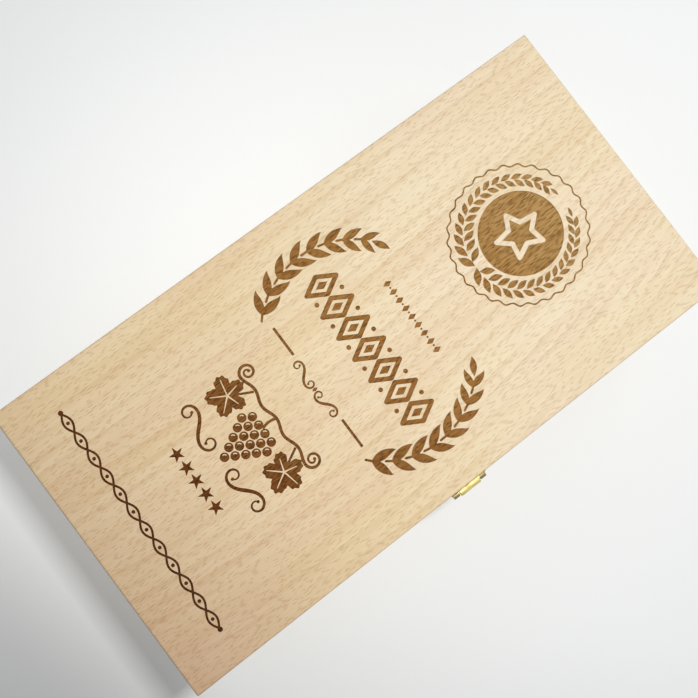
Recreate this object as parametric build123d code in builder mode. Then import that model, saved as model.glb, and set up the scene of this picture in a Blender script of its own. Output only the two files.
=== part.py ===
"""A wooden gift box for two bottles of wine, in millimetres.

The closed box lies on its underside. X runs along its length, -Y is the front with the latch, and +Z
is up. The origin is the middle of the underside.

A carcass of solid beech boards with finger-jointed corners is closed with a plywood panel above and
below, then sawn through level, which gives a deep base and a shallow lid. A divider splits the base
into two bays, and a notched rest in each bay carries a bottle's neck. Two small brass hinges with
screws carry the lid at the back, and a brass latch with nails holds it at the front: a tongue swings
on a pin under the lid's plate and drops over a lug on the base.
"""

import os

from build123d import *

# The box
length = 360.0
width = 180.0
panel = 4.0  # plywood above and below
wall = 8.0  # beech boards
finger = 8.0  # height of one finger of a corner joint
base_fingers = 9
lid_fingers = 2
corner_round = 0.8  # sanded outer corners and panel edges
seam_chamfer = 0.4  # broken edge on both sides of the saw cut

# Inside the base
divider_thickness = 5.0
divider_dado = 3.0  # how deep the divider sits in the end walls
divider_drop = 6.0  # from the rim down to the divider's top
neck_rest_thickness = 8.0
neck_rest_from_end = 60.0  # from the end wall to the rest's middle
neck_notch_radius = 16.0
neck_notch_lip = 6.0  # straight sides above the notch's half round
rest_corner = 2.0

# Hinges
hinge_inset = 70.0  # from the box's end to the hinge's middle
hinge_length = 25.0
hinge_leaf_height = 9.0  # from the pin to the leaf's far edge
hinge_leaf = 0.8  # thickness
hinge_knuckles = 5
hinge_pin_radius = 0.85
hinge_leaf_corner = 1.2
hinge_screw_spread = 15.0
hinge_screw_from_pin = 5.6
screw_radius = 0.9
screw_head_radius = 1.6
screw_length = 6.4
screw_slot = 0.4  # width and depth
screw_point = 1.4

# Latch
latch_width = 22.0
latch_axis_rise = 6.5  # from the saw cut up to the latch pin
latch_sheet = 0.8  # thickness
latch_knuckle_length = 3.6
latch_pin_radius = 1.0
latch_pin_stand = 0.4  # how far the pin's ends stand out of the knuckles
latch_side_play = 0.75  # between the tongue's roll and each knuckle
latch_plate_margin = 2.5  # from the plate's top to the lid's top
latch_corner = 2.5
tongue_rolls = 2  # layers of sheet that the tongue is rolled round the pin
tongue_tip_width = 10.5
tongue_tip_corner = 3.0
tongue_curl_radius = 3.2
tongue_curl_angle = 60.0
lug_width = 5.0
lug_height = 2.6
lug_reach = 2.6  # out from the catch plate
lug_below_seam = 5.2  # from the saw cut to the lug's middle
lug_round = 0.7
catch_plate_height = 12.0
catch_below_seam = 1.2  # from the saw cut to the plate's top
catch_corner = 2.0
nail_radius = 0.65
nail_head_radius = 1.3
nail_head_height = 0.7
nail_length = 6.0
nail_point = 1.5
nail_from_side = 2.4

# Clearances
bottle_play = 1.75  # round a bottle in its bay
running = 0.05  # round a pin, a screw or a nail
knuckle_gap = 0.2  # between a hinge's knuckles
swing_gap = 0.3  # round a knuckle that turns
slot_gap = 0.4  # round the lug
same = 0.001  # places closer than this are one

# Places that follow from the sizes
base_height = base_fingers * finger
lid_rail_height = lid_fingers * finger
seam = panel + base_height
rail_top = seam + lid_rail_height
top = rail_top + panel
inner_length = length - 2 * wall
inner_width = width - 2 * wall
bay_width = (inner_width - divider_thickness) / 2
bay_middle = (bay_width + divider_thickness) / 2
bottle_radius = bay_width / 2 - bottle_play

hinge_knuckle_radius = hinge_pin_radius + running + hinge_leaf
hinge_axis_y = width / 2 + swing_gap + hinge_knuckle_radius
hinge_middle = length / 2 - hinge_inset
knuckle_pitch = hinge_length / hinge_knuckles
latch_knuckle_radius = latch_pin_radius + running + latch_sheet
tongue_knuckle_radius = latch_pin_radius + running + tongue_rolls * latch_sheet
latch_axis_stand = swing_gap + tongue_knuckle_radius  # from the front of the box out to the latch pin
latch_axis_z = seam + latch_axis_rise
latch_axis_y = -(width / 2 + latch_axis_stand)
tongue_knuckle_length = latch_width - 2 * (latch_knuckle_length + latch_side_play)
nail_spread = latch_width - 2 * nail_from_side

# A sketch on either plane has its X as seen by someone facing that side of the box, and its Y up.
front_face = Plane(origin=(0, -width / 2, 0), x_dir=(1, 0, 0), z_dir=(0, -1, 0))
back_face = Plane(origin=(0, width / 2, 0), x_dir=(-1, 0, 0), z_dir=(0, 1, 0))


def write(piece, name):
    """Labels a finished piece and writes it as its own file."""
    piece.part.label = name
    export_step(piece.part, f"parts/{name}.step")


def outer_sides(edge):
    """On how many of the box's four outer sides an edge lies: two at a corner."""
    centre = edge.center()
    across_x = abs(abs(centre.X) - length / 2) < same
    across_y = abs(abs(centre.Y) - width / 2) < same
    return across_x + across_y


# Carcass boards: finger-jointed at the corners, with the saw cut between the base and the lid.
# Counted up from the underside, the long boards keep the even fingers and the short ones the odd.


def finish_board():
    """Rounds the outer corner edges of the board being built, and breaks its edge at the saw cut."""
    upright = edges().filter_by(Axis.Z)
    fillet(upright.filter_by(lambda edge: outer_sides(edge) == 2), corner_round)
    level = edges().filter_by_position(Axis.Z, seam - same, seam + same)
    chamfer(level.filter_by(lambda edge: outer_sides(edge) == 1), seam_chamfer)


def long_board(side, bottom, first_finger, fingers):
    """A front or back board. side is -1 at the front and 1 at the back."""
    height = fingers * finger
    cuts = [
        (end * (length - wall) / 2, side * (width - wall) / 2, bottom + (i + 0.5) * finger)
        for i in range(fingers)
        if (first_finger + i) % 2
        for end in (-1, 1)
    ]
    with BuildPart() as board:
        with Locations((0, side * (width - wall) / 2, bottom + height / 2)):
            Box(length, wall, height)
        with Locations(*cuts):
            Box(wall, wall, finger, mode=Mode.SUBTRACT)
        finish_board()
    return board


def short_board(side, bottom, first_finger, fingers):
    """A left or right board. side is -1 at the left and 1 at the right."""
    height = fingers * finger
    cuts = [
        (side * (length - wall) / 2, end * (width - wall) / 2, bottom + (i + 0.5) * finger)
        for i in range(fingers)
        if (first_finger + i) % 2 == 0
        for end in (-1, 1)
    ]
    with BuildPart() as board:
        with Locations((side * (length - wall) / 2, 0, bottom + height / 2)):
            Box(wall, width, height)
        with Locations(*cuts):
            Box(wall, wall, finger, mode=Mode.SUBTRACT)
        finish_board()
    return board


def plywood_panel(bottom, outer_face):
    """A panel the size of the box. outer_face picks the broad face that shows."""
    with BuildPart() as sheet:
        with Locations((0, 0, bottom)):
            Box(length, width, panel, align=(Align.CENTER, Align.CENTER, Align.MIN))
        fillet(sheet.edges().filter_by(Axis.Z), corner_round)
        fillet(sheet.faces().sort_by(Axis.Z)[outer_face].edges(), corner_round)
    return sheet


# Fasteners


def wood_screw():
    """A small countersunk screw with a slotted head. Its head's top is at the origin and it points down."""
    cone = screw_head_radius - screw_radius
    with BuildPart() as screw:
        with BuildSketch(Plane.XZ):
            with BuildLine():
                Polyline(
                    (0, 0),
                    (screw_head_radius, 0),
                    (screw_radius, -cone),
                    (screw_radius, screw_point - screw_length),
                    (0, -screw_length),
                    close=True,
                )
            make_face()
        revolve(axis=Axis.Z)
        Box(2 * screw_head_radius, screw_slot, 2 * screw_slot, mode=Mode.SUBTRACT)
    return screw.part


def round_head_nail():
    """A small nail. The underside of its domed head is at the origin and it points down."""
    dome = (nail_head_radius**2 + nail_head_height**2) / (2 * nail_head_height)
    with BuildPart() as nail:
        with BuildSketch(Plane.XZ):
            with BuildLine():
                RadiusArc((0, nail_head_height), (nail_head_radius, 0), dome)
                Polyline(
                    (nail_head_radius, 0),
                    (nail_radius, 0),
                    (nail_radius, nail_point - nail_length),
                    (0, -nail_length),
                    (0, nail_head_height),
                )
            make_face()
        revolve(axis=Axis.Z)
    return nail.part


def hinge_screw_places(side):
    """Where the screws go on the back of the box. side is -1 below the saw cut and 1 above it."""
    return [
        (hinge * hinge_middle + end * hinge_screw_spread / 2, seam + side * hinge_screw_from_pin)
        for hinge in (-1, 1)
        for end in (-1, 1)
    ]


latch_plate_top = top - latch_plate_margin
latch_plate_bottom = latch_axis_z + tongue_knuckle_radius + swing_gap + latch_sheet
latch_nail_z = (latch_plate_bottom + latch_plate_top) / 2
catch_plate_z = seam - catch_below_seam - catch_plate_height / 2
lug_z = seam - lug_below_seam


def nail_places(height):
    """Where a pair of latch nails goes on the front of the box."""
    return [(end * nail_spread / 2, height) for end in (-1, 1)]


def pilot_holes(face, places, radius, depth):
    """Drills the board being built from one of its outer faces."""
    with Locations(face):
        with Locations(*places):
            Hole(radius + running, depth)


# Leaves of the hinges


def hinge_leaf_piece(middle, side):
    """One leaf with its knuckles. side is -1 on the base, which has the odd knuckle, and 1 on the lid."""
    strap = hinge_knuckle_radius + swing_gap
    own = range(0 if side < 0 else 1, hinge_knuckles, 2)
    left_end = middle - hinge_length / 2
    outer = Plane(
        origin=(middle, width / 2, seam), x_dir=(-1, 0, 0), z_dir=(0, 1, 0)
    )
    with BuildPart() as leaf:
        with BuildSketch(outer):
            with Locations((0, side * (hinge_leaf_height + strap) / 2)):
                RectangleRounded(hinge_length, hinge_leaf_height - strap, hinge_leaf_corner)
            with Locations((0, side * (strap + hinge_leaf_corner))):
                Rectangle(hinge_length, 2 * hinge_leaf_corner)
        extrude(amount=hinge_leaf)
        for i in own:
            start = left_end + i * knuckle_pitch + knuckle_gap / 2
            with BuildSketch(Plane.YZ.offset(start)):
                with Locations((hinge_axis_y, seam)):
                    Circle(hinge_knuckle_radius)
                with Locations((width / 2 + hinge_leaf / 2, seam + side * strap / 2)):
                    Rectangle(hinge_leaf, strap)
            extrude(amount=knuckle_pitch - knuckle_gap)
        with Locations(Location((middle, hinge_axis_y, seam), (0, 90, 0))):
            Cylinder(hinge_pin_radius + running, 2 * hinge_length, mode=Mode.SUBTRACT)
        with Locations(outer.offset(hinge_leaf)):
            with Locations(
                *[(end * hinge_screw_spread / 2, side * hinge_screw_from_pin) for end in (-1, 1)]
            ):
                CounterSinkHole(
                    screw_radius + running,
                    screw_head_radius + running,
                    2 * hinge_leaf,
                    counter_sink_angle=90,
                )
    return leaf


def hinge_pin(middle):
    """The pin that both leaves turn on."""
    with BuildPart() as pin:
        with Locations(Location((middle, hinge_axis_y, seam), (0, 90, 0))):
            Cylinder(hinge_pin_radius, hinge_length)
        chamfer(pin.edges(), hinge_pin_radius / 4)
    return pin


# Each piece of the box is built, named and written from here on.

os.makedirs("parts", exist_ok=True)

write(plywood_panel(0, 0), "bottom_panel")
write(plywood_panel(rail_top, -1), "lid_panel")

with BuildPart() as front_wall:
    add(long_board(-1, panel, 0, base_fingers))
    pilot_holes(front_face, nail_places(catch_plate_z), nail_radius, nail_length)
write(front_wall, "front_wall")

with BuildPart() as back_wall:
    add(long_board(1, panel, 0, base_fingers))
    pilot_holes(back_face, hinge_screw_places(-1), screw_radius, screw_length)
write(back_wall, "back_wall")

# The divider stands in a groove in each end wall.
divider_length = inner_length + 2 * divider_dado
divider_height = base_height - divider_drop


def end_wall(side):
    """A left or right wall of the base, with the groove that takes the divider."""
    with BuildPart() as board:
        add(short_board(side, panel, 0, base_fingers))
        with Locations((side * (inner_length + divider_dado) / 2, 0, panel)):
            Box(
                divider_dado,
                divider_thickness,
                2 * base_height,
                align=(Align.CENTER, Align.CENTER, Align.MIN),
                mode=Mode.SUBTRACT,
            )
    return board


write(end_wall(-1), "left_wall")
write(end_wall(1), "right_wall")

with BuildPart() as lid_front_rail:
    add(long_board(-1, seam, base_fingers, lid_fingers))
    pilot_holes(front_face, nail_places(latch_nail_z), nail_radius, nail_length)
write(lid_front_rail, "lid_front_rail")

with BuildPart() as lid_back_rail:
    add(long_board(1, seam, base_fingers, lid_fingers))
    pilot_holes(back_face, hinge_screw_places(1), screw_radius, screw_length)
write(lid_back_rail, "lid_back_rail")

write(short_board(-1, seam, base_fingers, lid_fingers), "lid_left_rail")
write(short_board(1, seam, base_fingers, lid_fingers), "lid_right_rail")

with BuildPart() as divider:
    with Locations((0, 0, panel)):
        Box(
            divider_length,
            divider_thickness,
            divider_height,
            align=(Align.CENTER, Align.CENTER, Align.MIN),
        )
write(divider, "divider")

# The rest's notch has its centre on the axis of a bottle that lies on the floor of its bay.
neck_axis_z = panel + bottle_radius
neck_rest_x = -inner_length / 2 + neck_rest_from_end
neck_rest_height = bottle_radius + neck_notch_lip


def neck_rest(side):
    """The notched board across one bay. side is -1 in the front bay and 1 in the back one."""
    with BuildPart() as rest:
        with BuildSketch(Plane.YZ.offset(neck_rest_x - neck_rest_thickness / 2)):
            with Locations((side * bay_middle, panel + neck_rest_height / 2)):
                Rectangle(bay_width, neck_rest_height)
            with Locations((side * bay_middle, neck_axis_z)):
                Circle(neck_notch_radius, mode=Mode.SUBTRACT)
            with Locations((side * bay_middle, neck_axis_z + neck_notch_lip)):
                Rectangle(2 * neck_notch_radius, 2 * neck_notch_lip, mode=Mode.SUBTRACT)
        extrude(amount=neck_rest_thickness)
        notch_corners = (
            rest.edges()
            .filter_by(Axis.X)
            .group_by(Axis.Z)[-1]
            .sort_by(lambda edge: abs(edge.center().Y - side * bay_middle))[:2]
        )
        fillet(notch_corners, rest_corner)
    return rest


write(neck_rest(-1), "front_neck_rest")
write(neck_rest(1), "back_neck_rest")

# Hinges, one near each end of the back
for place, middle in (("left", -hinge_middle), ("right", hinge_middle)):
    write(hinge_leaf_piece(middle, -1), f"{place}_hinge_base_leaf")
    write(hinge_leaf_piece(middle, 1), f"{place}_hinge_lid_leaf")
    write(hinge_pin(middle), f"{place}_hinge_pin")

with BuildPart() as base_hinge_screws:
    with Locations(back_face.offset(hinge_leaf)):
        with Locations(*hinge_screw_places(-1)):
            add(wood_screw())
write(base_hinge_screws, "base_hinge_screws")

with BuildPart() as lid_hinge_screws:
    with Locations(back_face.offset(hinge_leaf)):
        with Locations(*hinge_screw_places(1)):
            add(wood_screw())
write(lid_hinge_screws, "lid_hinge_screws")

# Latch plate: flat on the lid's front, stepped out at its foot, and rolled round the pin at both ends.
ring_inner = latch_axis_stand - latch_knuckle_radius
latch_plate_height = latch_plate_top - latch_plate_bottom


def latch_axis_hole(radius):
    """Bores the piece being built along the latch pin."""
    with Locations(Location((0, latch_axis_y, latch_axis_z), (0, 90, 0))):
        Cylinder(radius, 2 * latch_width, mode=Mode.SUBTRACT)


with BuildPart() as latch_plate:
    with BuildSketch(front_face):
        with Locations((0, latch_plate_bottom + latch_plate_height / 2)):
            Rectangle(latch_width, latch_plate_height)
    extrude(amount=latch_sheet)
    fillet(latch_plate.edges().filter_by(Axis.Y).group_by(Axis.Z)[-1], latch_corner)
    for start in (-latch_width / 2, latch_width / 2 - latch_knuckle_length):
        with BuildSketch(Plane.YZ.offset(start)):
            with Locations((latch_axis_y, latch_axis_z)):
                Circle(latch_knuckle_radius)
            with BuildLine():
                Polyline(
                    (-width / 2, latch_plate_bottom),
                    (-width / 2 - latch_sheet, latch_plate_bottom),
                    (-width / 2 - ring_inner - latch_sheet, latch_axis_z + latch_knuckle_radius),
                    (-width / 2 - ring_inner - latch_sheet, latch_axis_z),
                    (-width / 2 - ring_inner, latch_axis_z),
                    (-width / 2 - ring_inner, latch_axis_z + latch_knuckle_radius),
                    close=True,
                )
            make_face()
        extrude(amount=latch_knuckle_length)
    latch_axis_hole(latch_pin_radius + running)
    pilot_holes(
        front_face.offset(latch_sheet), nail_places(latch_nail_z), nail_radius, 2 * latch_sheet
    )
write(latch_plate, "latch_plate")

with BuildPart() as latch_pin:
    with Locations(Location((0, latch_axis_y, latch_axis_z), (0, 90, 0))):
        Cylinder(latch_pin_radius, latch_width + 2 * latch_pin_stand)
    chamfer(latch_pin.edges(), latch_pin_radius / 4)
write(latch_pin, "latch_pin")

# Latch tongue: rolled round the pin, hanging just clear of the catch plate, with a curled tip.
tongue_back = latch_sheet + swing_gap  # from the box's front out to the tongue
tongue_middle_y = -(width / 2 + tongue_back + latch_sheet / 2)
curl_start_z = lug_z - lug_height / 2 - slot_gap - 2 * latch_sheet
with BuildPart() as latch_tongue:
    with BuildSketch(Plane.YZ.offset(-tongue_knuckle_length / 2)):
        with BuildLine():
            strap = Line((tongue_middle_y, latch_axis_z), (tongue_middle_y, curl_start_z))
            JernArc(strap @ 1, strap % 1, tongue_curl_radius, -tongue_curl_angle)
        trace(line_width=latch_sheet)
        with Locations((latch_axis_y, latch_axis_z)):
            Circle(tongue_knuckle_radius)
    extrude(amount=tongue_knuckle_length)
    tongue_tip_z = latch_tongue.part.bounding_box().min.Z
    with BuildSketch(front_face) as outline:
        with BuildLine():
            Polyline(
                (tongue_knuckle_length / 2, latch_axis_z + tongue_knuckle_radius),
                (tongue_knuckle_length / 2, latch_axis_z - tongue_knuckle_radius),
                (tongue_tip_width / 2, tongue_tip_z),
                (-tongue_tip_width / 2, tongue_tip_z),
                (-tongue_knuckle_length / 2, latch_axis_z - tongue_knuckle_radius),
                (-tongue_knuckle_length / 2, latch_axis_z + tongue_knuckle_radius),
                close=True,
            )
        make_face()
        fillet(outline.vertices().group_by(Axis.Y)[0], tongue_tip_corner)
    extrude(amount=latch_axis_stand + tongue_knuckle_radius + tongue_curl_radius, mode=Mode.INTERSECT)
    latch_axis_hole(latch_pin_radius + running)
    with Locations((0, tongue_middle_y, lug_z)):
        Box(
            lug_width + 2 * slot_gap,
            2 * latch_sheet,
            lug_height + 2 * slot_gap,
            mode=Mode.SUBTRACT,
        )
write(latch_tongue, "latch_tongue")

# Catch plate: flat on the base's front, with the lug that the tongue drops over.
with BuildPart() as catch_plate:
    with BuildSketch(front_face):
        with Locations((0, catch_plate_z)):
            RectangleRounded(latch_width, catch_plate_height, catch_corner)
    extrude(amount=latch_sheet)
    with BuildSketch(front_face.offset(latch_sheet)):
        with Locations((0, lug_z)):
            Rectangle(lug_width, lug_height)
    extrude(amount=lug_reach)
    fillet(catch_plate.faces().sort_by(Axis.Y)[0].edges(), lug_round)
    pilot_holes(
        front_face.offset(latch_sheet), nail_places(catch_plate_z), nail_radius, 2 * latch_sheet
    )
write(catch_plate, "catch_plate")

for name, height in (("latch_nails", latch_nail_z), ("catch_nails", catch_plate_z)):
    with BuildPart() as nails:
        with Locations(front_face.offset(latch_sheet)):
            with Locations(*nail_places(height)):
                add(round_head_nail())
    write(nails, name)
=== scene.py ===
"""The look of a wooden gift box for two bottles of wine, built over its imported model, in metres.

The closed box lies on its underside. X runs along its length, -Y is the front with the latch, and +Z
is up. The lid's top is X by Y, and its ornament reads with +X upwards.
"""

from math import atan2, cos, degrees, exp, pi, radians, sin, sqrt

import bmesh
import bpy
from mathutils import Matrix, Vector


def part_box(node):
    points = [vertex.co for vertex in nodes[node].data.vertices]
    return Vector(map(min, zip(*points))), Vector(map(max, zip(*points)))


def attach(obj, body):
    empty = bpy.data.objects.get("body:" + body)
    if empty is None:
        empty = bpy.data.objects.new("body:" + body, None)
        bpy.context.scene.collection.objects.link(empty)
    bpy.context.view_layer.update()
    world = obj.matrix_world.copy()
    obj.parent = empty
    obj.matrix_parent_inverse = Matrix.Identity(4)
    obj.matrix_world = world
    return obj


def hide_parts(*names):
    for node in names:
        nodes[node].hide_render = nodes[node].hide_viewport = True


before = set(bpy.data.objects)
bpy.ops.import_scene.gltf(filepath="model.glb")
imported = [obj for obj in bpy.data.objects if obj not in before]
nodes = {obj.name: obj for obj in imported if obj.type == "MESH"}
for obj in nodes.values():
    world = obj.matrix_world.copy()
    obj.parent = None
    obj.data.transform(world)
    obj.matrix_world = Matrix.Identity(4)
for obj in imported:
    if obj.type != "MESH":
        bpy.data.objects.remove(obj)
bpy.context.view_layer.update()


# Boards
# The carcass is solid beech, planed and sanded and left bare: pale, faintly pink, with short brown ray
# flecks along the grain. Each board is cut from another place, so no two have the same figure.

board_pale, board_deep = (0.82, 0.69, 0.49), (0.74, 0.58, 0.39)
end_pale, end_deep = (0.66, 0.49, 0.32), (0.53, 0.37, 0.23)
blush_tint, ring_tint, thread_tint = (1.0, 0.985, 1.06), (0.925, 0.885, 0.835), (0.955, 0.935, 0.905)
fleck_tint, fibre_tint, pore_tint = (0.68, 0.54, 0.40), (0.90, 0.87, 0.82), (0.70, 0.62, 0.54)
fleck_length, fleck_width, fleck_share = 0.0080, 0.00078, 0.76
fleck_sway = 0.003  # how far a row of flecks winds across the grain
fleck_least, fleck_more = 0.11, 0.24  # half a fleck's length, and what chance adds, in patches
fleck_centre, fleck_stray = 0.38, 0.24  # where across its row a fleck lies, and what chance adds
fleck_slimness = 5.0  # a row's width over half a fleck's width
row_shift = 50.0  # the most patches that chance moves a row along the grain
ring_spacing, board_sway = 0.0088, 0.05
bow_middle, bow_width = -0.047, 0.18  # where bent rings are straightest, and the width that they fill
edge_lean = 0.8  # how much the figure moves across the grain with a board's thickness
heart_across, heart_depth = 0.11, 0.07  # from a board's end to the middle of its tree
end_ring, end_waver, pore = 0.0022, 0.0030, 0.0005
square_on = 0.95  # how square to an axis a surface is cut to count as facing it
bare_roughness, bare_gloss = 0.55, 0.32
relief_strength, relief_depth = 0.12, 0.0001
first_cut, next_cut = 0.23, (0.37, 0.41, 0.11)  # places of the boards in their tree


def link(tree, source, socket):
    """Joins a node's output, or sets a plain value, on another node's input."""
    if isinstance(source, bpy.types.NodeSocket):
        tree.links.new(source, socket)
    else:
        socket.default_value = source


def math_node(tree, operation, a, b=0.0, c=0.0):
    """The result of one sum on one to three values."""
    node = tree.nodes.new("ShaderNodeMath")
    node.operation = operation
    for value, socket in zip((a, b, c), node.inputs):
        link(tree, value, socket)
    return node.outputs[0]


def squares(tree, a, b):
    """The sum of the squares of two values."""
    return math_node(tree, "ADD", math_node(tree, "POWER", a, 2.0), math_node(tree, "POWER", b, 2.0))


def axes(tree, vector):
    """The X, Y and Z of a vector."""
    split = tree.nodes.new("ShaderNodeSeparateXYZ")
    tree.links.new(vector, split.inputs[0])
    return split.outputs


def spread(tree, value, low, high, out_low=0.0, out_high=1.0):
    """A value's range from low to high, smoothly turned into another range and held at its ends."""
    node = tree.nodes.new("ShaderNodeMapRange")
    node.interpolation_type = "SMOOTHSTEP"
    for entry, number in zip(("From Min", "From Max", "To Min", "To Max"), (low, high, out_low, out_high)):
        node.inputs[entry].default_value = number
    link(tree, value, node.inputs["Value"])
    return node.outputs[0]


def blend_colour(tree, share, first, second, way="MIX"):
    """Two colours mixed by a share. A plain colour is its red, green and blue, and way the mixing mode."""
    node = tree.nodes.new("ShaderNodeMix")
    node.data_type = "RGBA"
    node.blend_type = way
    link(tree, share, node.inputs["Factor"])
    for colour, socket in ((first, node.inputs["A"]), (second, node.inputs["B"])):
        link(tree, (*colour, 1) if isinstance(colour, tuple) else colour, socket)
    return node.outputs["Result"]


def tinted(tree, colour, share, tint):
    """A colour multiplied by a plain tint, as far as the share says."""
    return blend_colour(tree, share, colour, tint, "MULTIPLY")


def noise(tree, place, along, across, detail=2.0, distortion=0.0):
    """Soft noise with features about along in size on X and across on Y and Z."""
    sized = tree.nodes.new("ShaderNodeVectorMath")
    sized.operation = "MULTIPLY"
    sized.inputs[1].default_value = (1 / along, 1 / across, 1 / across)
    tree.links.new(place, sized.inputs[0])
    node = tree.nodes.new("ShaderNodeTexNoise")
    node.inputs["Scale"].default_value = 1.0
    node.inputs["Detail"].default_value = detail
    node.inputs["Distortion"].default_value = distortion
    tree.links.new(sized.outputs[0], node.inputs["Vector"])
    return node.outputs[0]


def chances(tree, dimensions, entry, value):
    """Even random numbers, new ones for each value: a single one, and three as a colour."""
    node = tree.nodes.new("ShaderNodeTexWhiteNoise")
    node.noise_dimensions = dimensions
    tree.links.new(value, node.inputs[entry])
    return node.outputs


def grain_place(tree, order, offset):
    """Object coordinates in a board's own order, moved to another part of the tree.

    order names the axes along the grain, across the broad face and through the board's thickness. The
    place across leans with the thickness, so that the figure changes over a board's narrow edges too.
    """
    here = tree.nodes.new("ShaderNodeTexCoord")
    split = axes(tree, here.outputs["Object"])
    along, across, through = (
        math_node(tree, "ADD", split["XYZ".index(axis)], move) for axis, move in zip(order, offset)
    )
    joined = tree.nodes.new("ShaderNodeCombineXYZ")
    tree.links.new(along, joined.inputs[0])
    tree.links.new(math_node(tree, "MULTIPLY_ADD", through, edge_lean, across), joined.inputs[1])
    tree.links.new(through, joined.inputs[2])
    return here, joined.outputs[0]


def flecks(tree, place, along, across, kept):
    """Short dark dashes along the grain, one at most in each patch of along by across.

    kept is the share of them that shows. They differ in length, place and strength.
    """
    x, y = axes(tree, place)[:2]
    winding = math_node(tree, "MULTIPLY_ADD", noise(tree, place, 0.09, 0.03, 0.0), fleck_sway, y)
    rows = math_node(tree, "DIVIDE", winding, across)
    row = math_node(tree, "FLOOR", rows)
    row_chance = chances(tree, "1D", "W", row)["Value"]
    columns = math_node(tree, "MULTIPLY_ADD", row_chance, row_shift, math_node(tree, "DIVIDE", x, along))
    patch = tree.nodes.new("ShaderNodeCombineXYZ")
    tree.links.new(math_node(tree, "FLOOR", columns), patch.inputs[0])
    tree.links.new(row, patch.inputs[1])
    patch_chance = chances(tree, "2D", "Vector", patch.outputs[0])
    chance = tree.nodes.new("ShaderNodeSeparateColor")
    tree.links.new(patch_chance["Color"], chance.inputs[0])
    showing, length, start = chance.outputs
    half = math_node(tree, "MULTIPLY_ADD", length, fleck_more, fleck_least)
    room = math_node(tree, "MULTIPLY_ADD", half, -2.0, 1.0)
    middle = math_node(tree, "MULTIPLY_ADD", start, room, half)
    reach = math_node(tree, "SUBTRACT", math_node(tree, "FRACT", columns), middle)
    reach = math_node(tree, "DIVIDE", reach, half)
    centre = math_node(tree, "MULTIPLY_ADD", patch_chance["Value"], fleck_stray, fleck_centre)
    off = math_node(tree, "SUBTRACT", math_node(tree, "FRACT", rows), centre)
    off = math_node(tree, "MULTIPLY", off, fleck_slimness)
    near = spread(tree, squares(tree, reach, off), 1.0, 0.35)
    shown = spread(tree, showing, 1 - kept, 1.3 - kept)
    return math_node(tree, "MULTIPLY", near, shown)


def growth_lines(tree, place, spacing, sway, bow):
    """The dark edges of the yearly rings, winding along the grain.

    bow bends those at low Y up at both ends.
    """
    x, y = axes(tree, place)[:2]
    far = math_node(tree, "POWER", math_node(tree, "SUBTRACT", x, bow_middle), 2.0)
    lean = math_node(tree, "MULTIPLY_ADD", y, -bow / bow_width, bow / 2)
    bent = math_node(tree, "SUBTRACT", y, math_node(tree, "MULTIPLY", far, lean))
    wander = noise(tree, place, 0.12, 0.035, 1.5, 0.2)
    field = math_node(tree, "MULTIPLY_ADD", wander, sway / spacing, math_node(tree, "DIVIDE", bent, spacing))
    ring = math_node(tree, "FRACT", field)
    line = math_node(tree, "MULTIPLY", spread(tree, ring, 0.35, 0.93), spread(tree, ring, 1.0, 0.95))
    strength = spread(tree, noise(tree, place, 0.14, 0.011, 1.0), 0.36, 0.62, 0.15, 1.0)
    return math_node(tree, "MULTIPLY", line, strength)


def beech_colour(tree, place, pale, deep, sway=board_sway, bow=0.0):
    """Beech's colour on a broad face, with the depth of its flecks and the lie of its fibres."""
    band = noise(tree, place, 0.16, 0.020, 2.0, 0.6)
    streak = noise(tree, place, 0.030, 0.0009, 2.0)
    blush = noise(tree, place, 0.15, 0.045, 1.0, 0.4)
    thread = noise(tree, place, 0.022, 0.00052, 1.0)
    fibre = noise(tree, place, 0.007, 0.00028, 1.0)
    tone = math_node(tree, "MULTIPLY_ADD", band, 0.70, math_node(tree, "MULTIPLY", streak, 0.30))
    colour = blend_colour(tree, spread(tree, tone, 0.34, 0.66), pale, deep)
    colour = tinted(tree, colour, spread(tree, blush, 0.38, 0.64, 0.0, 0.6), blush_tint)
    colour = tinted(tree, colour, growth_lines(tree, place, ring_spacing, sway, bow), ring_tint)
    colour = tinted(tree, colour, spread(tree, thread, 0.34, 0.66), thread_tint)
    depth = flecks(tree, place, fleck_length, fleck_width, fleck_share)
    colour = tinted(tree, colour, depth, fleck_tint)
    colour = tinted(tree, colour, spread(tree, fibre, 0.32, 0.68, 0.0, 0.35), fibre_tint)
    return colour, depth, fibre


def wood_surface(tree, colour, depth, fibre, roughness, gloss):
    """Joins a wood's colour and relief to its surface."""
    bump = tree.nodes.new("ShaderNodeBump")
    bump.inputs["Strength"].default_value = relief_strength
    bump.inputs["Distance"].default_value = relief_depth
    relief = math_node(tree, "SUBTRACT", math_node(tree, "MULTIPLY", fibre, 0.5), depth)
    tree.links.new(relief, bump.inputs["Height"])
    surface = tree.nodes["Principled BSDF"]
    tree.links.new(colour, surface.inputs["Base Color"])
    worn = spread(tree, fibre, 0.25, 0.75, roughness - 0.05, roughness + 0.07)
    tree.links.new(worn, surface.inputs["Roughness"])
    surface.inputs["Specular IOR Level"].default_value = gloss
    tree.links.new(bump.outputs[0], surface.inputs["Normal"])


def new_material(name):
    """A plain material with its surface and output ready, and its node tree."""
    material = bpy.data.materials.new(name)
    material.use_nodes = True
    return material, material.node_tree


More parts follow.
